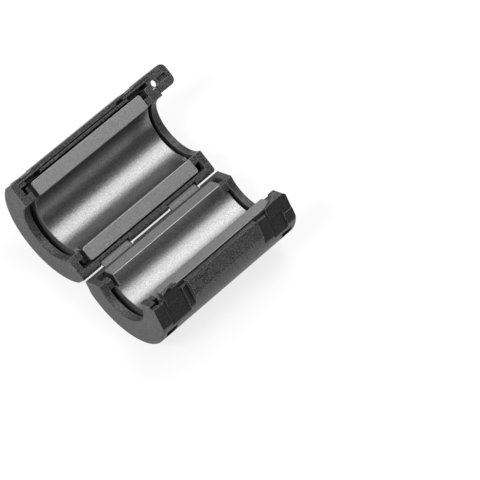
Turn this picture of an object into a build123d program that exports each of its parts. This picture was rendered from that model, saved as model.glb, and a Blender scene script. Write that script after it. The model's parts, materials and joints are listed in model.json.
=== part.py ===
"""Clip-on ferrite bead, lying open: a hinged two-part case with a split ferrite core."""

from build123d import *
from math import cos, radians, sin, tan
import os

# ferrite core, one half ring in each half of the case
core_length = 31.0
core_bore_radius = 6.5
core_wall = 3.25
core_corner_round = 0.15
core_edge_round = 0.18
core_notch_length = 0.6
core_notch_depth = 2.6
core_notch_round = 0.5
core_clearance = 0.3
core_face_setback = 0.015
core_play = 0.4
core_shift = 0.35

# case, a tube split lengthwise into two halves, with flat sides along the split
case_back_wall = 2.25
case_side_wall = 1.7
case_end_round = 0.4
end_wall = 1.55
end_opening_margin = 0.1
end_opening_round = 0.25
rim_setback = 0.25
rim_round = 0.15

# posts on the end walls, beside the rim, that stand in the notches of the core
post_length = 0.85
post_width = 1.6
post_height = 1.9
post_drop = 0.3

# blind pockets in the back near each end
back_pocket_length = 2.9
back_pocket_width = 3.6
back_pocket_end_distance = 1.0
back_pocket_angle = 44.0
back_pocket_skin = 0.7

# two spring tongues in the back, each cut free by a slot on three sides
tongue_end_distance = 7.2
tongue_slot = 0.75
tongue_width = 2.8
tongue_length = 5.6

# living hinge: two straps between the halves
open_angle = 118.0
hinge_inset = 0.15
hinge_edge_chamfer = 0.5
strap_end_distance = 9.0
strap_length = 7.8
strap_thickness = 0.4
strap_level = 1.15
strap_seat_wall = 0.75
strap_seat_depth = 1.9
strap_side_gap = 0.2

# snap hooks on the free rim of the hook half, a wedge with a barb each
hook_thickness = 0.55
hook_root = 2.4
hook_overlap = 0.15
hook_barb_height = 0.1
hook_barb_clearance = 0.06
hook_catch_gap = 0.15
hook_tip_gap = 0.05
hook_corner_round = 0.7
root_hook_end_distance = 3.2
root_hook_length = 3.7
root_hook_height = 1.05
tab_hook_length = 5.5
tab_hook_ramp_length = 3.0
tab_hook_ramp_height = 1.3
tab_hook_top_length = 1.0
tab_hook_height = 1.4
tab_hook_end_depth = 0.2

# recess in the outer wall round each hook, with a deeper pocket beside the hook
hook_flat_depth = 1.0
hook_flat_length = 8.9
hook_pocket_skin = 0.25
hook_pocket_margin = 0.7
hook_skin_drop = 0.95
free_edge_chamfer = 0.45
free_edge_drop = 1.2

# wells in the keeper half that the hooks enter
well_clearance = 0.2
well_depth = 2.6
well_end_wall = 0.35

# release bar along the free rim of the keeper half
bar_thickness = 0.95
bar_height = 2.9
bar_gap = 0.25
bar_root_length = 1.5
bar_neck_end_distance = 4.2
bar_neck_length = 2.4
bar_neck_slope = 0.45
bar_neck_depth = 0.28
bar_catch_height = 0.4
bar_catch_width = 0.45
bar_catch_overhang = 0.9
bar_catch_round = 0.15
bar_groove_width = 0.22
bar_groove_depth = 0.4
bar_notch_end_distance = 7.3
bar_notch_length = 1.9
bar_notch_depth = 0.4
bar_score_end_distance = 10.0
bar_score_width = 0.2

# finger tab on the end of the release bar, and the stop beside it on the end wall
tab_gap = 1.15
tab_length = 4.15
tab_width = 4.8
tab_root_width = 3.15
tab_root_gap = 0.15
tab_hole_radius = 0.78
tab_hole_inset = 2.35
tab_thickness = 1.3
tab_corner_round = 1.3
tab_edge_round = 0.2
tab_recess_length = 2.3
tab_recess_width = 1.2
tab_recess_depth = 0.8
tab_recess_end_distance = 0.95
tab_recess_inset = 2.45
tab_stop_length = 0.9
tab_stop_inset = 3.3

# how far cuts run past the faces that they open
cut_overrun = 1.0
cut_tolerance = 0.001

# derived sizes
core_half = core_length / 2
core_radius = core_bore_radius + core_wall
pocket_radius = core_radius + core_clearance
pocket_half = core_half + core_play + post_length
case_radius = pocket_radius + case_back_wall
case_side = pocket_radius + case_side_wall
case_half = pocket_half + end_wall
case_length = 2 * case_half
end_opening_radius = core_bore_radius + end_opening_margin
half_tilt = (180 - open_angle) / 2
hinge_distance = case_side - hinge_inset
half_offset = hinge_distance * cos(radians(half_tilt))
hinge_height = case_radius - hinge_distance * sin(radians(half_tilt))
hook_inner = pocket_radius
hook_outer = hook_inner + hook_thickness
hook_tip = hook_outer + hook_catch_gap + hook_overlap
hook_flat = case_side - hook_flat_depth
hook_pocket = pocket_radius + hook_pocket_skin
root_hook_start = root_hook_end_distance - case_half
root_hook_span = (root_hook_start, root_hook_start + root_hook_length)
tab_hook_span = (case_half - tab_hook_length, case_half)
barb_floor = bar_catch_height + hook_barb_clearance
catch_edge = hook_outer + hook_catch_gap
bar_inner = hook_tip + hook_tip_gap
bar_outer = bar_inner + bar_thickness
bar_start = -case_half + bar_root_length
bar_floor = -rim_setback - bar_height
tab_start = case_half + tab_gap
case_middle = -(tab_gap + tab_length) / 2
strap_seat = pocket_radius + strap_seat_wall
strap_place = case_half - strap_end_distance
outside = case_radius + cut_overrun


def half_frame(side):
    """Frame of one half at rest: x along the bore, y to the free rim, z out of the open side."""
    lean = radians(half_tilt)
    return Plane(
        origin=(case_middle, side * half_offset, case_radius),
        x_dir=(side, 0, 0),
        z_dir=(0, -side * sin(lean), cos(lean)),
    )


def section_at(frame, place):
    """Plane across the bore at a place along it: sketch x is the half's y, sketch y its z."""
    centre = frame.origin + frame.x_dir * place
    return Plane(origin=centre, x_dir=frame.y_dir, z_dir=frame.x_dir)


def side_at(frame, place):
    """Plane along the bore at a distance towards the free rim: sketch x runs to -x, sketch y to z."""
    centre = frame.origin + frame.y_dir * place
    return Plane(origin=centre, x_dir=-frame.x_dir, z_dir=frame.y_dir)


def back_at(frame, angle, radius):
    """Plane that touches the back at an angle from its middle: sketch x runs along the bore."""
    turn = radians(angle)
    outward = frame.y_dir * sin(turn) - frame.z_dir * cos(turn)
    return Plane(origin=frame.origin + outward * radius, x_dir=frame.x_dir, z_dir=outward)


def span(low, high):
    """Middle and length of a stretch."""
    return (low + high) / 2, high - low


def cut_round(frame, start, end, radius):
    """Round cut along the bore between two places."""
    with BuildSketch(section_at(frame, start)) as disc:
        Circle(radius)
    extrude(disc.sketch, amount=end - start, mode=Mode.SUBTRACT)


def block(frame, along, across, up, mode=Mode.ADD):
    """Block that fills three stretches of the half's frame."""
    (x_mid, x_size), (y_mid, y_size), z_size = span(*along), span(*across), up[1] - up[0]
    with BuildSketch(frame.offset(up[0])) as outline:
        with Locations((x_mid, y_mid)):
            Rectangle(x_size, y_size)
    extrude(outline.sketch, amount=z_size, mode=mode)


def shell_body(frame):
    """Half tube with end walls, core posts, back pockets, spring tongues and seats for the straps."""
    case_block(frame)
    cut_round(frame, -pocket_half, pocket_half, pocket_radius)
    cut_round(frame, -case_half - cut_overrun, case_half + cut_overrun, end_opening_radius)
    round_end_openings(frame)
    add_core_posts(frame)
    cut_back_pockets(frame)
    cut_tongues(frame)
    cut_strap_seats(frame)


def case_block(frame):
    """Solid half of the case: a round back between two flat sides, with rounded ends."""
    with BuildSketch(section_at(frame, -case_half)) as outline:
        Circle(case_radius)
        with Locations((0, -rim_setback)):
            Rectangle(2 * case_side, case_radius, align=(Align.CENTER, Align.MAX), mode=Mode.INTERSECT)
    extrude(outline.sketch, amount=case_length)

    def round_the_end(edge):
        corners = [frame.to_local_coords(Vector(*corner)) for corner in edge.vertices()]
        at_end = all(abs(abs(corner.X) - case_half) < cut_tolerance for corner in corners)
        at_rim = all(abs(corner.Z + rim_setback) < cut_tolerance for corner in corners)
        return at_end and not at_rim

    fillet(edges().filter_by(round_the_end), case_end_round)


def round_end_openings(frame):
    """Round the edge where the opening for the cable meets each end face."""

    def at_end_face(edge):
        places = [abs(frame.to_local_coords(Vector(*corner)).X) for corner in edge.vertices()]
        return all(abs(place - case_half) < cut_tolerance for place in places)

    arcs = edges().filter_by(GeomType.CIRCLE).filter_by(at_end_face)
    fillet(arcs.filter_by(lambda edge: edge.radius < pocket_radius), end_opening_round)


def add_core_posts(frame):
    """Four posts in the corners of the pocket, below the rim, that reach into the core's notches."""
    reach = core_half - core_notch_length + core_play
    top = -rim_setback - post_drop
    for end in (-1, 1):
        along = sorted((end * reach, end * pocket_half))
        for side in (-1, 1):
            across = sorted((side * end_opening_radius, side * (end_opening_radius + post_width)))
            block(frame, along, across, (top - post_height, top))


def cut_back_pockets(frame):
    """Four rectangular pockets, two near each end, on either side of the middle of the back."""
    place = case_half - back_pocket_end_distance - back_pocket_length / 2
    floor = pocket_radius + back_pocket_skin
    for angle in (-back_pocket_angle, back_pocket_angle):
        with BuildSketch(back_at(frame, angle, floor)) as outline:
            with Locations((-place, 0), (place, 0)):
                Rectangle(back_pocket_length, back_pocket_width)
        extrude(outline.sketch, amount=outside - floor, mode=Mode.SUBTRACT)


def cut_tongues(frame):
    """Two U slots that free a spring tongue each, with the tongues' tips towards the ends."""
    depth = case_radius - pocket_radius + cut_overrun
    tip = case_half - tongue_end_distance
    with BuildSketch(back_at(frame, 0, pocket_radius - cut_overrun)) as slots:
        for end in (-1, 1):
            slot_middle = end * (tip + (tongue_slot - tongue_length) / 2)
            tongue_middle = end * (tip - tongue_length / 2)
            with Locations((slot_middle, 0)):
                Rectangle(tongue_length + tongue_slot, tongue_width + 2 * tongue_slot)
            with Locations((tongue_middle, 0)):
                Rectangle(tongue_length, tongue_width, mode=Mode.SUBTRACT)
    extrude(slots.sketch, amount=depth + cut_overrun, mode=Mode.SUBTRACT)


def cut_strap_seats(frame):
    """Seats for the two straps in the hinge-side wall, and a chamfer along its outer edge."""
    seat_half = strap_length / 2 + strap_side_gap
    for end in (-1, 1):
        middle = end * strap_place
        along = (middle - seat_half, middle + seat_half)
        block(frame, along, (-outside, -strap_seat), (-strap_seat_depth, cut_overrun), Mode.SUBTRACT)
    chamfer_edge(frame, -1, hinge_edge_chamfer, hinge_edge_chamfer)


def chamfer_edge(frame, side, width, drop):
    """Bevel the outer edge of the rim on the hinge side (-1) or the free side (1)."""
    edge_y = side * case_side
    past_y = edge_y + side * cut_overrun
    with BuildSketch(section_at(frame, -case_half - cut_overrun)) as corner:
        with BuildLine():
            Polyline(
                (edge_y - side * width, -rim_setback),
                (past_y, -rim_setback),
                (past_y, -rim_setback - drop - cut_overrun),
                (edge_y, -rim_setback - drop),
                close=True,
            )
        make_face()
    extrude(corner.sketch, amount=case_length + 2 * cut_overrun, mode=Mode.SUBTRACT)


def core_ring(frame):
    """Half ring of ferrite, notched at its rim corners, slid towards the tab end within its play."""
    seat = frame.offset(-core_face_setback)
    shift = core_shift * frame.x_dir.X
    with BuildSketch(seat) as profile:
        with Locations((shift, (core_radius + core_bore_radius) / 2)):
            RectangleRounded(core_length, core_radius - core_bore_radius, core_corner_round)
    revolve(profile.sketch, axis=Axis(seat.origin, seat.x_dir), revolution_arc=-180)
    notch = core_half - core_notch_length
    for end in (-1, 1):
        along = sorted((shift + end * notch, shift + end * (core_half + cut_overrun)))
        block(frame, along, (-outside, outside), (-core_notch_depth, cut_overrun), Mode.SUBTRACT)

    def at_notch(edge):
        places = [abs(frame.to_local_coords(Vector(*corner)).X - shift) for corner in edge.vertices()]
        return all(abs(place - notch) < cut_tolerance for place in places)

    fillet(edges().filter_by(GeomType.CIRCLE).filter_by(at_notch), core_notch_round)
    fillet(edges().group_by(Axis(frame.origin, frame.z_dir))[-1], core_edge_round)


def round_rim(frame, level, radius, shortest):
    """Round the long edges along the bore that lie at a level of the half's frame."""

    def at_level(edge):
        ends = [frame.to_local_coords(Vector(*corner)).Z for corner in edge.vertices()]
        return all(abs(height - level) < cut_tolerance for height in ends) and edge.length > shortest

    fillet(edges().filter_by(Axis.X).filter_by(at_level), radius)


def widened(stretch, margin):
    """A stretch with a margin at both ends."""
    return stretch[0] - margin, stretch[1] + margin


def mirrored(stretch):
    """The same stretch counted from the other end of the case."""
    return -stretch[1], -stretch[0]


keeper_frame = half_frame(1)
hook_frame = half_frame(-1)

# keeper half of the case: a rebate for the release bar and a well for each hook
with BuildPart() as keeper_shell:
    shell_body(keeper_frame)
    rebate_wall = bar_inner - bar_gap
    block(
        keeper_frame,
        (bar_start, case_half + cut_overrun),
        (rebate_wall, outside),
        (bar_floor - bar_gap, cut_overrun),
        Mode.SUBTRACT,
    )
    for well_span in (root_hook_span, (tab_hook_span[0], case_half - well_end_wall - well_clearance)):
        block(
            keeper_frame,
            widened(well_span, well_clearance),
            (hook_inner - well_clearance, bar_inner),
            (-well_depth, cut_overrun),
            Mode.SUBTRACT,
        )
    round_rim(keeper_frame, -rim_setback, rim_round, end_wall)
    block(
        keeper_frame,
        (case_half, case_half + tab_stop_length),
        (end_opening_radius, bar_outer - tab_stop_inset),
        (-rim_setback - tab_thickness, -rim_setback),
    )
keeper_shell.part.label = "keeper_shell"

# release bar with two necks, a catch over each hook and the finger tab at its free end
with BuildPart() as release_bar:
    with BuildSketch(keeper_frame.offset(-rim_setback - tab_thickness)) as tab_outline:
        tab_x, tab_y = tab_start + tab_length / 2, bar_outer - tab_width / 2
        with Locations((tab_x, tab_y)):
            Rectangle(tab_length, tab_width)
        fillet(tab_outline.vertices().group_by(Axis.X)[-1], tab_corner_round)
    extrude(tab_outline.sketch, amount=tab_thickness)
    up_axis = Axis(keeper_frame.origin, keeper_frame.z_dir)
    fillet(edges().group_by(up_axis)[-1], tab_edge_round)
    neck_floor = bar_outer - bar_neck_depth
    neck_high = case_half - bar_neck_end_distance + bar_neck_length / 2
    neck_low = neck_high - bar_neck_length
    with BuildSketch(keeper_frame.offset(bar_floor)) as bar_outline:
        with BuildLine():
            Polyline(
                (bar_start, bar_inner),
                (bar_start, bar_outer),
                (-neck_high - bar_neck_slope, bar_outer),
                (-neck_high, neck_floor),
                (-neck_low, neck_floor),
                (-neck_low + bar_neck_slope, bar_outer),
                (neck_low - bar_neck_slope, bar_outer),
                (neck_low, neck_floor),
                (neck_high, neck_floor),
                (neck_high + bar_neck_slope, bar_outer),
                (tab_start + tab_gap, bar_outer),
                (tab_start + tab_gap, bar_inner),
                close=True,
            )
        make_face()
    extrude(bar_outline.sketch, amount=bar_height)
    block(
        keeper_frame,
        (case_half + tab_root_gap, tab_start + tab_gap),
        (bar_outer - tab_root_width, bar_outer),
        (-rim_setback - tab_thickness, -rim_setback),
    )
    with BuildSketch(keeper_frame.offset(-rim_setback - tab_thickness)) as tab_hole:
        with Locations((tab_start, bar_outer - tab_hole_inset)):
            Circle(tab_hole_radius)
    extrude(tab_hole.sketch, amount=tab_thickness, mode=Mode.SUBTRACT)
    catch_along = (
        (bar_start, root_hook_span[1] + bar_catch_overhang),
        widened(tab_hook_span, bar_catch_overhang),
    )
    groove_y = catch_edge + bar_catch_width
    for along in catch_along:
        block(
            keeper_frame,
            along,
            (catch_edge, groove_y),
            (-bar_catch_height, 0),
        )
        block(
            keeper_frame,
            along,
            (groove_y, groove_y + bar_groove_width),
            (-rim_setback - bar_groove_depth, cut_overrun),
            Mode.SUBTRACT,
        )
    round_rim(keeper_frame, 0, bar_catch_round, end_wall)
    notch_middle = case_half - bar_notch_end_distance
    notch_along = (notch_middle - bar_notch_length / 2, notch_middle + bar_notch_length / 2)
    block(
        keeper_frame,
        notch_along,
        (bar_inner - cut_overrun, bar_inner + bar_notch_depth),
        (-rim_setback - tab_thickness, cut_overrun),
        Mode.SUBTRACT,
    )
    score_end = bar_score_end_distance - case_half
    block(
        keeper_frame,
        (score_end - bar_score_width, score_end),
        (bar_inner, bar_outer),
        (-rim_setback - bar_score_width, cut_overrun),
        Mode.SUBTRACT,
    )
    recess_end = tab_start + tab_length - tab_recess_end_distance
    recess_y = bar_outer - tab_recess_inset
    block(
        keeper_frame,
        (recess_end - tab_recess_length, recess_end),
        (recess_y - tab_recess_width / 2, recess_y + tab_recess_width / 2),
        (-rim_setback - tab_recess_depth, cut_overrun),
        Mode.SUBTRACT,
    )
release_bar.part.label = "release_bar"


def add_hook(outline_points, rounding, hook_span, height):
    """One hook: a side outline through wall and barb, cut back below the barb and sloped on top."""
    with BuildSketch(side_at(hook_frame, hook_inner)) as outline:
        with BuildLine():
            if rounding > 0:
                FilletPolyline(*outline_points, radius=rounding)
            else:
                Polyline(*outline_points)
            Line(outline_points[-1], outline_points[0])
        make_face()
    extrude(outline.sketch, amount=hook_tip - hook_inner)
    along = mirrored(hook_span)
    block(
        hook_frame,
        along,
        (hook_outer, hook_tip + cut_overrun),
        (-hook_root - cut_overrun, barb_floor),
        Mode.SUBTRACT,
    )
    with BuildSketch(section_at(hook_frame, along[0])) as slope:
        with BuildLine():
            Polyline(
                (hook_inner, height),
                (hook_tip, barb_floor + hook_barb_height),
                (hook_tip, height),
                close=True,
            )
        make_face()
    extrude(slope.sketch, amount=along[1] - along[0], mode=Mode.SUBTRACT)


# hook half of the case: a flat recess in the outer wall round each hook, and the two hooks
with BuildPart() as hook_shell:
    shell_body(hook_frame)
    chamfer_edge(hook_frame, 1, free_edge_chamfer, free_edge_drop)
    flat_along = (
        (-case_half - cut_overrun, hook_flat_length - case_half),
        (case_half - hook_flat_length, case_half + cut_overrun),
    )
    pocket_along = (
        widened(root_hook_span, hook_pocket_margin),
        (tab_hook_span[0] - hook_pocket_margin, pocket_half - hook_pocket_margin),
    )
    full_depth = (-case_radius, cut_overrun)
    drop_along = (
        (-case_half - cut_overrun, hook_flat_length - case_half),
        (case_half - hook_flat_length, pocket_half),
    )
    for along in flat_along:
        block(hook_frame, mirrored(along), (hook_flat, outside), full_depth, Mode.SUBTRACT)
    for along in drop_along:
        block(
            hook_frame,
            mirrored(along),
            (pocket_radius - core_clearance, outside),
            (-hook_skin_drop, cut_overrun),
            Mode.SUBTRACT,
        )
    for along in pocket_along:
        block(hook_frame, mirrored(along), (hook_pocket, outside), full_depth, Mode.SUBTRACT)
    add_hook(
        (
            (root_hook_span[0], -hook_root),
            (root_hook_span[0], root_hook_height),
            (root_hook_span[1], root_hook_height),
            (root_hook_span[1], -hook_root),
        ),
        hook_corner_round,
        root_hook_span,
        root_hook_height,
    )
    ramp_top = tab_hook_span[0] + tab_hook_ramp_length
    add_hook(
        (
            (tab_hook_span[0], -hook_root),
            (tab_hook_span[0], tab_hook_height - tab_hook_ramp_height),
            (ramp_top, tab_hook_height),
            (ramp_top + tab_hook_top_length, tab_hook_height),
            (tab_hook_span[1], -tab_hook_end_depth),
            (tab_hook_span[1], -hook_root),
        ),
        0,
        tab_hook_span,
        tab_hook_height,
    )
    round_rim(hook_frame, -rim_setback, rim_round, end_wall)
hook_shell.part.label = "hook_shell"

# ferrite core, one half ring in each half of the case
with BuildPart() as keeper_core:
    core_ring(keeper_frame)
keeper_core.part.label = "keeper_core"

with BuildPart() as hook_core:
    core_ring(hook_frame)
hook_core.part.label = "hook_core"

# straps of the living hinge: flat bands between the strap seats of the two halves
lean_tan = tan(radians(half_tilt))
seat_out = hinge_distance - strap_seat
strap_middle = seat_out * sin(radians(half_tilt)) - strap_level * cos(radians(half_tilt))


def strap_reach(level):
    """Distance from the hinge's middle plane to the seat walls at a level from the hinge axis."""
    rise = seat_out * sin(radians(half_tilt)) - level
    return seat_out * cos(radians(half_tilt)) + rise * lean_tan


def strap(place):
    """One band of the living hinge, centred at a place along the case."""
    top, bottom = strap_middle + strap_thickness / 2, strap_middle - strap_thickness / 2
    with BuildSketch(Plane.YZ.offset(case_middle + place - strap_length / 2)) as band:
        with BuildLine():
            Polyline(
                (strap_reach(top), hinge_height + top),
                (-strap_reach(top), hinge_height + top),
                (-strap_reach(bottom), hinge_height + bottom),
                (strap_reach(bottom), hinge_height + bottom),
                close=True,
            )
        make_face()
    extrude(band.sketch, amount=strap_length)


with BuildPart() as hinge_strap_root_end:
    strap(-strap_place)
hinge_strap_root_end.part.label = "hinge_strap_root_end"

with BuildPart() as hinge_strap_tab_end:
    strap(strap_place)
hinge_strap_tab_end.part.label = "hinge_strap_tab_end"

os.makedirs("parts", exist_ok=True)
export_step(keeper_shell.part, "parts/keeper_shell.step")
export_step(release_bar.part, "parts/release_bar.step")
export_step(hook_shell.part, "parts/hook_shell.step")
export_step(keeper_core.part, "parts/keeper_core.step")
export_step(hook_core.part, "parts/hook_core.step")
export_step(hinge_strap_root_end.part, "parts/hinge_strap_root_end.step")
export_step(hinge_strap_tab_end.part, "parts/hinge_strap_tab_end.step")
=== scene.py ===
"""Clip-on ferrite bead, lying open: finishes, hinge bands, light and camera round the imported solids."""

import json
import logging
import math
from dataclasses import dataclass
from enum import Enum
from typing import Any, Optional

import bpy
from mathutils import Matrix, Vector


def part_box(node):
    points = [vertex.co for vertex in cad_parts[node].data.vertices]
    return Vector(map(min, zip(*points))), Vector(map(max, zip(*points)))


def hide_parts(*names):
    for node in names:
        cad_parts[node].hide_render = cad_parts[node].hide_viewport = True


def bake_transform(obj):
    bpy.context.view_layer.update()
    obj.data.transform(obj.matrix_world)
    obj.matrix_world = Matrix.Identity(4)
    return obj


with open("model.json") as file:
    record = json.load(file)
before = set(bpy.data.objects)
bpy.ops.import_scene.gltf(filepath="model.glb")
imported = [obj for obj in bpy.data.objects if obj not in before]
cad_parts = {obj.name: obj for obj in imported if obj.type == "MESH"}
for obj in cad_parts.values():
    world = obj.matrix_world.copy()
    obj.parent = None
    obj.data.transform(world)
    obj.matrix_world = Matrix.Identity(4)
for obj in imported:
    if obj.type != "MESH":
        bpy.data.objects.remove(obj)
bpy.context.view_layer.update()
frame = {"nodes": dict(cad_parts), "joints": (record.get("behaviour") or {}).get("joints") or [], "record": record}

log = logging.getLogger("ferrite_bead")

MM = 0.001


class Half(Enum):
    """The two halves of the case, by the body that carries each."""

    KEEPER = "keeper"
    HOOK = "hook"

    @property
    def side(self) -> int:
        """The side of the hinge that the half lies on, along Y."""
        return 1 if self is Half.KEEPER else -1


def linear(colour: str) -> tuple[float, float, float, float]:
    """Turn an sRGB hex colour into the linear values that shaders take.

    Args:
        colour: Six hex digits after a hash sign.

    Returns:
        Linear red, green and blue, and an alpha of one.
    """
    steps = [int(colour[place : place + 2], 16) / 255 for place in (1, 3, 5)]
    red, green, blue = (s / 12.92 if s <= 0.04045 else ((s + 0.055) / 1.055) ** 2.4 for s in steps)
    return red, green, blue, 1.0


def add_node(
    tree: bpy.types.NodeTree,
    kind: str,
    inputs: Optional[dict[Any, Any]] = None,
    **settings: Any,
) -> bpy.types.Node:
    """Add a node with its settings, and give each named input a value or a link.

    Args:
        tree: The node tree that takes the node.
        kind: The node's type name.
        inputs: Values for input sockets, by name or number; an output socket is linked instead.
        settings: Properties of the node itself.

    Returns:
        The new node.
    """
    node = tree.nodes.new(kind)
    for name, value in settings.items():
        setattr(node, name, value)
    for key, value in (inputs or {}).items():
        if isinstance(value, bpy.types.NodeSocket):
            tree.links.new(value, node.inputs[key])
        else:
            node.inputs[key].default_value = value
    return node


def new_material(name: str) -> tuple[bpy.types.Material, bpy.types.NodeTree]:
    """Make an empty node material.

    Args:
        name: What the material is.

    Returns:
        The material and its cleared node tree.
    """
    material = bpy.data.materials.new(name)
    material.use_nodes = True
    material.node_tree.nodes.clear()
    return material, material.node_tree


@dataclass(frozen=True)
class HalfPlace:
    """Where one half of the case lies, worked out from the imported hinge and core."""

    half: Half

    @property
    def hinge(self) -> dict[str, Any]:
        """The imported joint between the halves."""
        return next(joint for joint in frame["joints"] if joint["name"] == "case_hinge")

    @property
    def clamp(self) -> dict[str, Any]:
        """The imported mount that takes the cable."""
        return next(mount for mount in frame["record"]["mounts"] if mount["name"] == "cable_clamp")

    @property
    def lean(self) -> float:
        """Angle in radians by which the half's open side leans towards the hinge."""
        open_angle = math.radians(self.hinge["range_deg"][1])
        return self.half.side * (math.pi - open_angle) / 2

    @property
    def bore_centre(self) -> Vector:
        """Middle of the half's bore on the mating plane."""
        x, y, z = self.clamp["pos_m"]
        return Vector((x, self.half.side * y, z))

    @property
    def outward(self) -> Vector:
        """Direction along the mating plane from the bore to the half's free side."""
        turn = self.half.side * self.lean
        return Vector((0, self.half.side * math.cos(turn), math.sin(turn)))

    @property
    def side_reach(self) -> float:
        """Distance from the bore's middle to the hinge line, which lies just inside the case's side."""
        _, y, z = self.bore_centre - Vector(self.hinge["pos_m"])
        return math.hypot(y, z)

    @property
    def back_radius(self) -> float:
        """Radius of the round back: the half lies on the floor, so its bore's middle is that high."""
        return self.bore_centre.z

    @property
    def bore_radius(self) -> float:
        """Radius of the bore."""
        return self.clamp["dims"]["r_mm"] * MM

    @property
    def core_half(self) -> float:
        """Half of the length of the half's core."""
        low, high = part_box(f"{self.half.value}_core")
        return (high.x - low.x) / 2

    def local(self, tree: bpy.types.NodeTree, place: bpy.types.NodeSocket) -> bpy.types.NodeSocket:
        """Add the turn from a place on the object into the half's own frame on its mating plane.

        Args:
            tree: The tree that takes the turn.
            place: The place to turn.

        Returns:
            The place in the half's own frame.
        """
        return add_node(
            tree,
            "ShaderNodeMapping",
            {"Vector": place, "Location": self.bore_centre, "Rotation": (self.lean, 0, 0)},
            vector_type="TEXTURE",
        ).outputs["Vector"]


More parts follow.
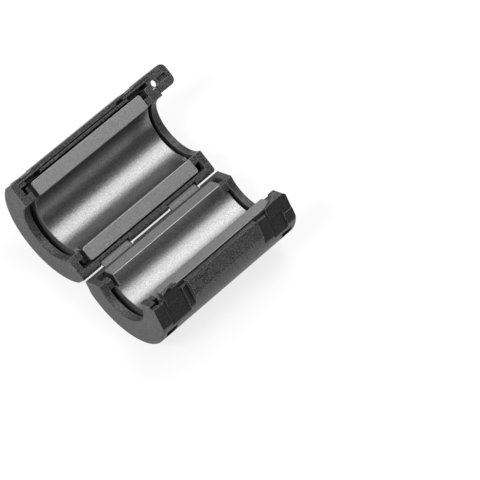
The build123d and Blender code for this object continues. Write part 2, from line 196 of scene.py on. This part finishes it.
@dataclass(frozen=True)
class MouldedNylon:
    """Nylon moulded in a spark-eroded tool: a fine matte grain that scatters the light.

    The eye sees a dark neutral grey full of fine speckle and faint cloudiness, with pale edges that are a painted
    highlight.
    """

    name: str = "moulded_grey_nylon"
    # the half whose recess round the hooks gets painted shade in its colour, and the lower roughness of a polished
    # slide of the mould
    shaded_recess_place: Optional[HalfPlace] = None
    # its faces lie at least this far inside the case's side and its round back, and face the free side
    shaded_recess_depth_mm: float = 0.6
    shaded_recess_back_depth_mm: float = 0.1
    shaded_recess_facing: float = 0.9
    # painted shade: the colour in the recess is multiplied by this share
    recess_painted_shade_share: float = 0.2
    recess_polish_roughness_share: float = 0.7
    light_colour: str = "#545454"
    dark_colour: str = "#080808"
    cloud_mm: float = 2.5
    cloud_share: float = 0.12
    # noise values at which the speckle is fully dark and fully light
    speckle_low: float = 0.34
    speckle_high: float = 0.66
    # real grain is about 0.05 mm; it is drawn coarser so that it shows
    grain_mm: float = 0.27
    grain_depth_mm: float = 0.06
    # rounded edges carry a painted highlight, paler where the rounding turns the surface further
    painted_edge_highlight_colour: str = "#8c8c8c"
    edge_round_mm: float = 0.14
    edge_samples: int = 6
    highlight_start: float = 0.99
    highlight_full: float = 0.8
    roughness: float = 0.42
    roughness_spread: float = 0.1
    ior: float = 1.38

    def build(self) -> bpy.types.Material:
        """Make the material.

        Returns:
            The finished material.
        """
        material, tree = new_material(self.name)
        place = add_node(tree, "ShaderNodeTexCoord").outputs["Object"]
        cloud = add_node(
            tree, "ShaderNodeTexNoise", {"Vector": place, "Scale": 1 / (self.cloud_mm * MM), "Detail": 3.0}
        ).outputs["Fac"]
        grain = add_node(
            tree, "ShaderNodeTexNoise", {"Vector": place, "Scale": 1 / (self.grain_mm * MM), "Detail": 2.0}
        ).outputs["Fac"]
        speckle = add_node(
            tree,
            "ShaderNodeMix",
            {"Factor": self.cloud_share, 2: grain, 3: cloud},
            data_type="FLOAT",
        ).outputs[0]
        spread = add_node(
            tree,
            "ShaderNodeMapRange",
            {"Value": speckle, "From Min": self.speckle_low, "From Max": self.speckle_high},
        ).outputs["Result"]
        colour = add_node(
            tree,
            "ShaderNodeMix",
            {"Factor": spread, 6: linear(self.dark_colour), 7: linear(self.light_colour)},
            data_type="RGBA",
        ).outputs[2]
        roughness = add_node(
            tree,
            "ShaderNodeMapRange",
            {
                "Value": grain,
                "To Min": self.roughness - self.roughness_spread,
                "To Max": self.roughness + self.roughness_spread,
            },
        ).outputs["Result"]
        rounded = add_node(
            tree, "ShaderNodeBevel", {"Radius": self.edge_round_mm * MM}, samples=self.edge_samples
        ).outputs["Normal"]
        flat = add_node(tree, "ShaderNodeNewGeometry").outputs["Normal"]
        bend = add_node(
            tree, "ShaderNodeVectorMath", {0: rounded, 1: flat}, operation="DOT_PRODUCT"
        ).outputs["Value"]
        painted_highlight = add_node(
            tree,
            "ShaderNodeMapRange",
            {"Value": bend, "From Min": self.highlight_start, "From Max": self.highlight_full},
        ).outputs["Result"]
        # painted highlight: the rounded edges are made paler in colour
        colour = add_node(
            tree,
            "ShaderNodeMix",
            {"Factor": painted_highlight, 6: colour, 7: linear(self.painted_edge_highlight_colour)},
            data_type="RGBA",
        ).outputs[2]
        if self.shaded_recess_place:
            shade_and_polish = self.shaded_polished_recess_mask(tree)
            # painted shade: the recess round the hooks is darkened in colour; only its lower roughness comes from
            # the polished slide
            colour = add_node(
                tree,
                "ShaderNodeMix",
                {"Factor": shade_and_polish, 6: colour, 7: (self.recess_painted_shade_share,) * 3 + (1.0,)},
                data_type="RGBA",
                blend_type="MULTIPLY",
            ).outputs[2]
            shine = add_node(
                tree,
                "ShaderNodeMapRange",
                {"Value": shade_and_polish, "To Min": 1.0, "To Max": self.recess_polish_roughness_share},
            ).outputs["Result"]
            roughness = add_node(
                tree, "ShaderNodeMath", {0: roughness, 1: shine}, operation="MULTIPLY"
            ).outputs[0]
        bump = add_node(
            tree,
            "ShaderNodeBump",
            {
                "Height": grain,
                "Distance": self.grain_depth_mm * MM,
                "Strength": 1.0,
                "Normal": rounded,
            },
        )
        shader = add_node(
            tree,
            "ShaderNodeBsdfPrincipled",
            {
                "Base Color": colour,
                "Roughness": roughness,
                "Normal": bump.outputs["Normal"],
                "IOR": self.ior,
            },
        )
        add_node(tree, "ShaderNodeOutputMaterial", {"Surface": shader.outputs["BSDF"]})
        return material

    def shaded_polished_recess_mask(self, tree: bpy.types.NodeTree) -> bpy.types.NodeSocket:
        """Add the test for faces on the free side of a half that lie inside its outer surface.

        Args:
            tree: The tree that takes the test.

        Returns:
            A socket that is one on those faces.
        """
        given = add_node(tree, "ShaderNodeTexCoord").outputs
        place = self.shaded_recess_place.local(tree, given["Object"])
        parts = add_node(tree, "ShaderNodeSeparateXYZ", {"Vector": place}).outputs
        across = add_node(
            tree, "ShaderNodeVectorMath", {0: place, 1: (0, 1, 1)}, operation="MULTIPLY"
        ).outputs[0]
        radius = add_node(tree, "ShaderNodeVectorMath", {0: across}, operation="LENGTH").outputs["Value"]
        out = add_node(
            tree, "ShaderNodeMath", {0: parts["Y"], 1: self.shaded_recess_place.half.side}, operation="MULTIPLY"
        ).outputs[0]
        facing = add_node(
            tree,
            "ShaderNodeVectorMath",
            {0: given["Normal"], 1: self.shaded_recess_place.outward},
            operation="DOT_PRODUCT",
        ).outputs["Value"]
        tests = (
            (radius, "LESS_THAN", self.shaded_recess_place.back_radius - self.shaded_recess_back_depth_mm * MM),
            (out, "LESS_THAN", self.shaded_recess_place.side_reach - self.shaded_recess_depth_mm * MM),
            (out, "GREATER_THAN", self.shaded_recess_place.side_reach / 2),
            (facing, "GREATER_THAN", self.shaded_recess_facing),
        )
        mask = 1.0
        for value, operation, limit in tests:
            passed = add_node(tree, "ShaderNodeMath", {0: value, 1: limit}, operation=operation).outputs[0]
            mask = add_node(tree, "ShaderNodeMath", {0: passed, 1: mask}, operation="MULTIPLY").outputs[0]
        return mask


@dataclass(frozen=True)
class FiredFerrite:
    """Manganese-zinc ferrite, pressed and fired, with the mating faces ground flat.

    The eye sees a dark, glassy, almost metallic bore and pale matte faces full of fine pores.
    """

    place: HalfPlace
    bore_colour: str = "#1c1c1c"
    ground_colour: str = "#767676"
    pore_colour: str = "#3a3a3a"
    # real pores are under 0.05 mm; they are drawn coarser so that they show
    pore_mm: float = 0.25
    pore_depth_mm: float = 0.018
    # noise values at which the speckle is fully dark and fully light
    speckle_low: float = 0.3
    speckle_high: float = 0.7
    # depths under the mating plane between which the ground face gives way to the fired skin
    ground_level_mm: float = 0.02
    skin_level_mm: float = 0.04
    # the ends of the half ring are ground as well, within these depths
    end_depth_mm: float = 0.05
    end_edge_mm: float = 0.12
    # the outside of the ring, from this far beyond the bore, is as matte as the ground faces
    ring_depth_mm: float = 1.5
    bore_roughness: float = 0.36
    bore_roughness_spread: float = 0.08
    ground_roughness: float = 0.5
    bore_ior: float = 3.0
    bore_ior_spread: float = 0.7
    # loose grains on the ground faces scatter more and mirror less
    ground_ior: float = 2.4

    def build(self) -> bpy.types.Material:
        """Make the material for the core in one half.

        Returns:
            The finished material.
        """
        material, tree = new_material(f"fired_ferrite_{self.place.half.value}")
        place = add_node(tree, "ShaderNodeTexCoord").outputs["Object"]
        parts = add_node(
            tree, "ShaderNodeSeparateXYZ", {"Vector": self.place.local(tree, place)}
        ).outputs

        core_half = self.place.core_half
        along = add_node(tree, "ShaderNodeMath", {0: parts["X"]}, operation="ABSOLUTE").outputs[0]
        end = add_node(
            tree,
            "ShaderNodeMapRange",
            {
                "Value": along,
                "From Min": core_half - self.end_edge_mm * MM,
                "From Max": core_half - self.end_depth_mm * MM,
            },
        ).outputs["Result"]
        rim = add_node(
            tree,
            "ShaderNodeMapRange",
            {
                "Value": parts["Z"],
                "From Min": -self.skin_level_mm * MM,
                "From Max": -self.ground_level_mm * MM,
            },
        ).outputs["Result"]
        ring_depth = self.ring_depth_mm * MM
        ring_middle = self.place.bore_radius + ring_depth
        aside = add_node(tree, "ShaderNodeMath", {0: parts["Y"]}, operation="ABSOLUTE").outputs[0]
        outside = add_node(
            tree,
            "ShaderNodeMapRange",
            {"Value": aside, "From Min": ring_middle, "From Max": ring_middle + ring_depth},
        ).outputs["Result"]
        ground = add_node(tree, "ShaderNodeMath", {0: rim, 1: end}, operation="MAXIMUM").outputs[0]
        matte = add_node(tree, "ShaderNodeMath", {0: ground, 1: outside}, operation="MAXIMUM").outputs[0]
        pores = add_node(
            tree, "ShaderNodeTexNoise", {"Vector": place, "Scale": 1 / (self.pore_mm * MM), "Detail": 3.0}
        ).outputs["Fac"]
        speckle = add_node(
            tree,
            "ShaderNodeMapRange",
            {"Value": pores, "From Min": self.speckle_low, "From Max": self.speckle_high},
        ).outputs["Result"]
        face = add_node(
            tree,
            "ShaderNodeMix",
            {"Factor": speckle, 6: linear(self.pore_colour), 7: linear(self.ground_colour)},
            data_type="RGBA",
        ).outputs[2]
        colour = add_node(
            tree,
            "ShaderNodeMix",
            {"Factor": ground, 6: linear(self.bore_colour), 7: face},
            data_type="RGBA",
        ).outputs[2]
        satin = add_node(
            tree,
            "ShaderNodeMapRange",
            {
                "Value": pores,
                "To Min": self.bore_roughness - self.bore_roughness_spread,
                "To Max": self.bore_roughness + self.bore_roughness_spread,
            },
        ).outputs["Result"]
        roughness = add_node(
            tree, "ShaderNodeMix", {"Factor": matte, 2: satin, 3: self.ground_roughness}, data_type="FLOAT"
        ).outputs[0]
        sparkle = add_node(
            tree,
            "ShaderNodeMapRange",
            {
                "Value": speckle,
                "To Min": self.bore_ior - self.bore_ior_spread,
                "To Max": self.bore_ior + self.bore_ior_spread,
            },
        ).outputs["Result"]
        ior = add_node(
            tree, "ShaderNodeMix", {"Factor": matte, 2: sparkle, 3: self.ground_ior}, data_type="FLOAT"
        ).outputs[0]
        bump = add_node(
            tree,
            "ShaderNodeBump",
            {"Height": pores, "Distance": self.pore_depth_mm * MM, "Strength": 1.0},
        )
        shader = add_node(
            tree,
            "ShaderNodeBsdfPrincipled",
            {"Base Color": colour, "Roughness": roughness, "IOR": ior, "Normal": bump.outputs["Normal"]},
        )
        add_node(tree, "ShaderNodeOutputMaterial", {"Surface": shader.outputs["BSDF"]})
        return material


@dataclass
class Case:
    """The moulded case: two shells and the release bar, dressed where they lie."""

    plain_nodes: tuple[str, ...] = ("keeper_shell", "release_bar")
    hook_nodes: tuple[str, ...] = ("hook_shell",)

    def dress(self) -> None:
        """Give every moulded piece the case's finish."""
        # the hook shell's recess takes painted shade
        hook_finish = MouldedNylon(name="moulded_grey_nylon_hooks_painted_shade", shaded_recess_place=HalfPlace(Half.HOOK))
        for finish, nodes in ((MouldedNylon(), self.plain_nodes), (hook_finish, self.hook_nodes)):
            material = finish.build()
            for name in nodes:
                for slot in frame["nodes"][name].material_slots:
                    slot.material = material
                log.info("dressed %s", name)


@dataclass
class Core:
    """The split ferrite core, one half ring in each half of the case."""

    halves: tuple[Half, ...] = (Half.KEEPER, Half.HOOK)

    def dress(self) -> None:
        """Give each half core its ferrite finish, placed on its own mating plane."""
        for half in self.halves:
            material = FiredFerrite(HalfPlace(half)).build()
            name = f"{half.value}_core"
            for slot in frame["nodes"][name].material_slots:
                slot.material = material
            log.info("dressed %s", name)


@dataclass
class HingeBands:
    """The living hinge: two thin bands between the halves, thinner along the bending line."""

    nodes: tuple[str, str] = ("hinge_strap_root_end", "hinge_strap_tab_end")
    waist_share: float = 0.55
    waist_width_mm: float = 0.9
    side_round_mm: float = 0.15
    seat_overrun_mm: float = 0.12
    steps_along: int = 24
    steps_across: int = 28
    merge_mm: float = 0.0001

    def build(self, material: bpy.types.Material) -> bpy.types.Object:
        """Make both bands as one piece.

        Args:
            material: The finish that the bands take.

        Returns:
            The piece, in place.
        """
        low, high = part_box(self.nodes[0])
        far_low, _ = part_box(self.nodes[1])
        size = high - low
        tree = self.band_tree(material)
        carrier = bpy.data.objects.new("hinge_bands", bpy.data.meshes.new("hinge_bands"))
        bpy.context.scene.collection.objects.link(carrier)
        modifier = carrier.modifiers.new("bands", "NODES")
        modifier.node_group = tree
        sizes = {
            "Length": size.x,
            "Span": size.y + 2 * self.seat_overrun_mm * MM,
            "Thickness": size.z,
            "Waist Share": self.waist_share,
            "Waist Width": self.waist_width_mm * MM,
            "Side Round": self.side_round_mm * MM,
            "First": (low + high) / 2,
            "Step": far_low - low,
        }
        for item in tree.interface.items_tree:
            if item.in_out == "INPUT":
                value = sizes[item.name]
                modifier[item.identifier] = tuple(value) if isinstance(value, Vector) else value
        carrier.data.update()
        evaluated = carrier.evaluated_get(bpy.context.evaluated_depsgraph_get())
        mesh = bpy.data.meshes.new_from_object(evaluated)
        carrier.modifiers.remove(modifier)
        carrier.data = mesh
        return carrier

    def band_tree(self, material: bpy.types.Material) -> bpy.types.NodeTree:
        """Make the node tree that shapes one band and repeats it along the hinge.

        Args:
            material: The finish that the bands take.

        Returns:
            The geometry node tree.
        """
        tree = bpy.data.node_groups.new("hinge_band", "GeometryNodeTree")
        for name in ("Length", "Span", "Thickness", "Waist Share", "Waist Width", "Side Round"):
            tree.interface.new_socket(name, in_out="INPUT", socket_type="NodeSocketFloat")
        for name in ("First", "Step"):
            tree.interface.new_socket(name, in_out="INPUT", socket_type="NodeSocketVector")
        tree.interface.new_socket("Bands", in_out="OUTPUT", socket_type="NodeSocketGeometry")
        given = add_node(tree, "NodeGroupInput").outputs
        size = add_node(
            tree,
            "ShaderNodeCombineXYZ",
            {"X": given["Length"], "Y": given["Span"], "Z": given["Thickness"]},
        ).outputs["Vector"]
        slab = add_node(
            tree,
            "GeometryNodeMeshCube",
            {
                "Size": size,
                "Vertices X": self.steps_along,
                "Vertices Y": self.steps_across,
                "Vertices Z": 2,
            },
        ).outputs["Mesh"]
        parts = add_node(
            tree,
            "ShaderNodeSeparateXYZ",
            {"Vector": add_node(tree, "GeometryNodeInputPosition").outputs["Position"]},
        ).outputs

        # thinner along the bending line
        aside = add_node(tree, "ShaderNodeMath", {0: parts["Y"]}, operation="ABSOLUTE").outputs[0]
        across = add_node(
            tree, "ShaderNodeMath", {0: aside, 1: given["Waist Width"]}, operation="DIVIDE"
        ).outputs[0]
        bulk = add_node(
            tree,
            "ShaderNodeMapRange",
            {"Value": across, "To Min": given["Waist Share"], "To Max": 1.0},
            interpolation_type="SMOOTHSTEP",
        ).outputs["Result"]
        # rounded off at both ends of the band
        along = add_node(tree, "ShaderNodeMath", {0: parts["X"]}, operation="ABSOLUTE").outputs[0]
        reach = add_node(
            tree, "ShaderNodeMath", {0: given["Length"], 1: 0.5}, operation="MULTIPLY"
        ).outputs[0]
        inset = add_node(tree, "ShaderNodeMath", {0: reach, 1: along}, operation="SUBTRACT").outputs[0]
        share = add_node(
            tree, "ShaderNodeMath", {0: inset, 1: given["Side Round"]}, operation="DIVIDE"
        ).outputs[0]
        near_side = add_node(tree, "ShaderNodeMath", {0: share, 1: 1.0}, operation="MINIMUM").outputs[0]
        gap = add_node(tree, "ShaderNodeMath", {0: 1.0, 1: near_side}, operation="SUBTRACT").outputs[0]
        square = add_node(tree, "ShaderNodeMath", {0: gap, 1: gap}, operation="MULTIPLY").outputs[0]
        rest = add_node(tree, "ShaderNodeMath", {0: 1.0, 1: square}, operation="SUBTRACT").outputs[0]
        rounding = add_node(tree, "ShaderNodeMath", {0: rest}, operation="SQRT").outputs[0]
        thickness = add_node(
            tree, "ShaderNodeMath", {0: bulk, 1: rounding}, operation="MULTIPLY"
        ).outputs[0]
        height = add_node(
            tree, "ShaderNodeMath", {0: parts["Z"], 1: thickness}, operation="MULTIPLY"
        ).outputs[0]
        place = add_node(
            tree, "ShaderNodeCombineXYZ", {"X": parts["X"], "Y": parts["Y"], "Z": height}
        ).outputs["Vector"]
        band = add_node(tree, "GeometryNodeSetPosition", {"Geometry": slab, "Position": place}).outputs[0]
        line = add_node(
            tree,
            "GeometryNodeMeshLine",
            {"Count": len(self.nodes), "Start Location": given["First"], "Offset": given["Step"]},
        ).outputs["Mesh"]
        copies = add_node(
            tree, "GeometryNodeInstanceOnPoints", {"Points": line, "Instance": band}
        ).outputs["Instances"]
        real = add_node(tree, "GeometryNodeRealizeInstances", {"Geometry": copies}).outputs["Geometry"]
        merged = add_node(
            tree, "GeometryNodeMergeByDistance", {"Geometry": real, "Distance": self.merge_mm * MM}
        ).outputs["Geometry"]
        smooth = add_node(tree, "GeometryNodeSetShadeSmooth", {0: merged}).outputs[0]
        dressed = add_node(
            tree, "GeometryNodeSetMaterial", {"Geometry": smooth, "Material": material}
        ).outputs["Geometry"]
        add_node(tree, "NodeGroupOutput", {"Bands": dressed})
        return tree

    def hang(self, bands: bpy.types.Object) -> None:
        """Put the bands between the two halves in place of the plain straps, which are hidden.

        Args:
            bands: The finished piece.
        """
        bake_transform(bands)
        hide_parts(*self.nodes)
        log.info("made %s", bands.name)


def direction(azimuth: float, elevation: float) -> Vector:
    """Unit vector from the object towards a place round it.

    Args:
        azimuth: Degrees from the front, to the right.
        elevation: Degrees above the floor.

    Returns:
        The unit vector.
    """
    turn, rise = math.radians(azimuth), math.radians(elevation)
    return Vector((math.sin(turn) * math.cos(rise), -math.cos(turn) * math.cos(rise), math.sin(rise)))


@dataclass(frozen=True)
class Softbox:
    """One soft lamp that faces the object."""

    name: str
    azimuth: float
    elevation: float
    # width runs up and down, length runs level
    width_m: float
    length_m: float
    watts: float
    distance_m: float = 0.6

    def build(self) -> None:
        """Hang the lamp."""
        lamp = bpy.data.lights.new(self.name, "AREA")
        lamp.shape = "RECTANGLE"
        lamp.size = self.width_m
        lamp.size_y = self.length_m
        lamp.energy = self.watts
        softbox = bpy.data.objects.new(self.name, lamp)
        towards = direction(self.azimuth, self.elevation)
        softbox.location = towards * self.distance_m
        softbox.rotation_mode = "QUATERNION"
        softbox.rotation_quaternion = towards.to_track_quat("Z", "X")
        bpy.context.scene.collection.objects.link(softbox)


@dataclass
class Studio:
    """White floor, soft light and the camera of the picture."""

    floor_size_m: float = 6.0
    floor_colour: str = "#f4f4f4"
    floor_glow_share: float = 0.8
    sky_colour: str = "#ffffff"
    sky_strength: float = 0.56
    # the walls of the studio darken towards the floor
    horizon_share: float = 0.3
    horizon_top: float = 0.5
    # the side in front on the right is kept dark, as by a black card
    card_azimuth: float = 25.0
    card_elevation: float = 20.0
    card_strength: float = 0.09
    card_inner: float = 0.9
    card_outer: float = 0.25
    lamps: tuple[Softbox, ...] = (
        # draws the bright bands in the bores
        Softbox("key_softbox", azimuth=104.0, elevation=64.0, width_m=0.34, length_m=0.62, watts=2.5),
        # reaches over the end walls to the ends of the core
        Softbox("end_softbox", azimuth=-88.0, elevation=50.0, width_m=0.15, length_m=0.15, watts=2.0),
    )
    azimuth: float = -45.7
    elevation: float = 57.0
    roll: float = 0.15
    distance_m: float = 0.6411
    aim_mm: tuple[float, float, float] = (5.82, -16.37, 9.0)
    frame_pixels: float = 480.0
    focal_pixels: float = 3275.0

    def floor(self) -> None:
        """Lay a white floor that keeps the object's shadow."""
        half = self.floor_size_m / 2
        mesh = bpy.data.meshes.new("floor")
        corners = [(-half, -half, 0), (half, -half, 0), (half, half, 0), (-half, half, 0)]
        mesh.from_pydata(corners, [], [(0, 1, 2, 3)])
        floor = bpy.data.objects.new("floor", mesh)
        bpy.context.scene.collection.objects.link(floor)
        material, tree = new_material("white_paper_sweep")
        paper = add_node(tree, "ShaderNodeBsdfDiffuse", {"Color": linear(self.floor_colour)})
        glow = add_node(tree, "ShaderNodeEmission", {"Color": linear(self.sky_colour), "Strength": 1.0})
        seen = self.seen_rays(tree)
        share = add_node(
            tree, "ShaderNodeMath", {0: seen, 1: self.floor_glow_share}, operation="MULTIPLY"
        )
        mixed = add_node(
            tree,
            "ShaderNodeMixShader",
            {0: share.outputs[0], 1: paper.outputs["BSDF"], 2: glow.outputs["Emission"]},
        )
        add_node(tree, "ShaderNodeOutputMaterial", {"Surface": mixed.outputs["Shader"]})
        mesh.materials.append(material)

    @staticmethod
    def seen_rays(tree: bpy.types.NodeTree) -> bpy.types.NodeSocket:
        """Add the test for rays that show the background, straight or mirrored.

        Args:
            tree: The tree that takes the test.

        Returns:
            A socket that is one on those rays.
        """
        rays = add_node(tree, "ShaderNodeLightPath").outputs
        straight = add_node(
            tree,
            "ShaderNodeMath",
            {0: rays["Is Camera Ray"], 1: rays["Is Transmission Ray"]},
            operation="MAXIMUM",
        )
        return add_node(
            tree,
            "ShaderNodeMath",
            {0: straight.outputs[0], 1: rays["Is Glossy Ray"]},
            operation="MAXIMUM",
        ).outputs[0]

    def light(self) -> None:
        """Set the sky with its dark side, and the softboxes."""
        world = bpy.data.worlds.new("studio")
        world.use_nodes = True
        tree = world.node_tree
        tree.nodes.clear()
        towards = add_node(tree, "ShaderNodeTexCoord").outputs["Generated"]
        towards_card = add_node(
            tree,
            "ShaderNodeVectorMath",
            {0: towards, 1: direction(self.card_azimuth, self.card_elevation)},
            operation="DOT_PRODUCT",
        ).outputs["Value"]
        rise = add_node(tree, "ShaderNodeSeparateXYZ", {"Vector": towards}).outputs["Z"]
        wall = add_node(
            tree,
            "ShaderNodeMapRange",
            {"Value": rise, "From Max": self.horizon_top, "To Min": self.horizon_share},
            interpolation_type="SMOOTHSTEP",
        ).outputs["Result"]
        strength = add_node(
            tree,
            "ShaderNodeMapRange",
            {
                "Value": towards_card,
                "From Min": self.card_outer,
                "From Max": self.card_inner,
                "To Min": self.sky_strength,
                "To Max": self.card_strength,
            },
            interpolation_type="SMOOTHSTEP",
        ).outputs["Result"]
        level = add_node(tree, "ShaderNodeMath", {0: strength, 1: wall}, operation="MULTIPLY").outputs[0]
        sky = add_node(tree, "ShaderNodeBackground", {"Color": linear(self.sky_colour), "Strength": level})
        add_node(tree, "ShaderNodeOutputWorld", {"Surface": sky.outputs["Background"]})
        bpy.context.scene.world = world
        for lamp in self.lamps:
            lamp.build()

    def camera(self) -> None:
        """Stand the camera where the picture was taken from."""
        lens = bpy.data.cameras.new("camera")
        lens.lens = lens.sensor_width * self.focal_pixels / self.frame_pixels
        lens.clip_start = self.distance_m / 100
        camera = bpy.data.objects.new("camera", lens)
        back = direction(self.azimuth, self.elevation)
        camera.location = Vector(self.aim_mm) * MM + back * self.distance_m
        level = (-back).to_track_quat("-Z", "Y").to_matrix().to_4x4()
        turned = level @ Matrix.Rotation(math.radians(self.roll), 4, "Z")
        camera.rotation_mode = "QUATERNION"
        camera.rotation_quaternion = turned.to_quaternion()
        bpy.context.scene.collection.objects.link(camera)
        bpy.context.scene.camera = camera

    def build(self) -> None:
        """Lay the floor, set the light and stand the camera."""
        self.floor()
        self.light()
        self.camera()
        bpy.context.scene.view_settings.view_transform = "Standard"
        log.info("set the studio")


def main() -> None:
    """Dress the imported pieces, make the hinge bands and set the studio."""
    logging.basicConfig(level=logging.INFO)
    Case().dress()
    Core().dress()
    # bending turns the thin nylon of the hinge pale
    pale = MouldedNylon(name="bent_pale_nylon", light_colour="#747474", dark_colour="#4e4e4e")
    bands = HingeBands()
    bands.hang(bands.build(pale.build()))
    Studio().build()


if __name__ == "__main__":
    main()
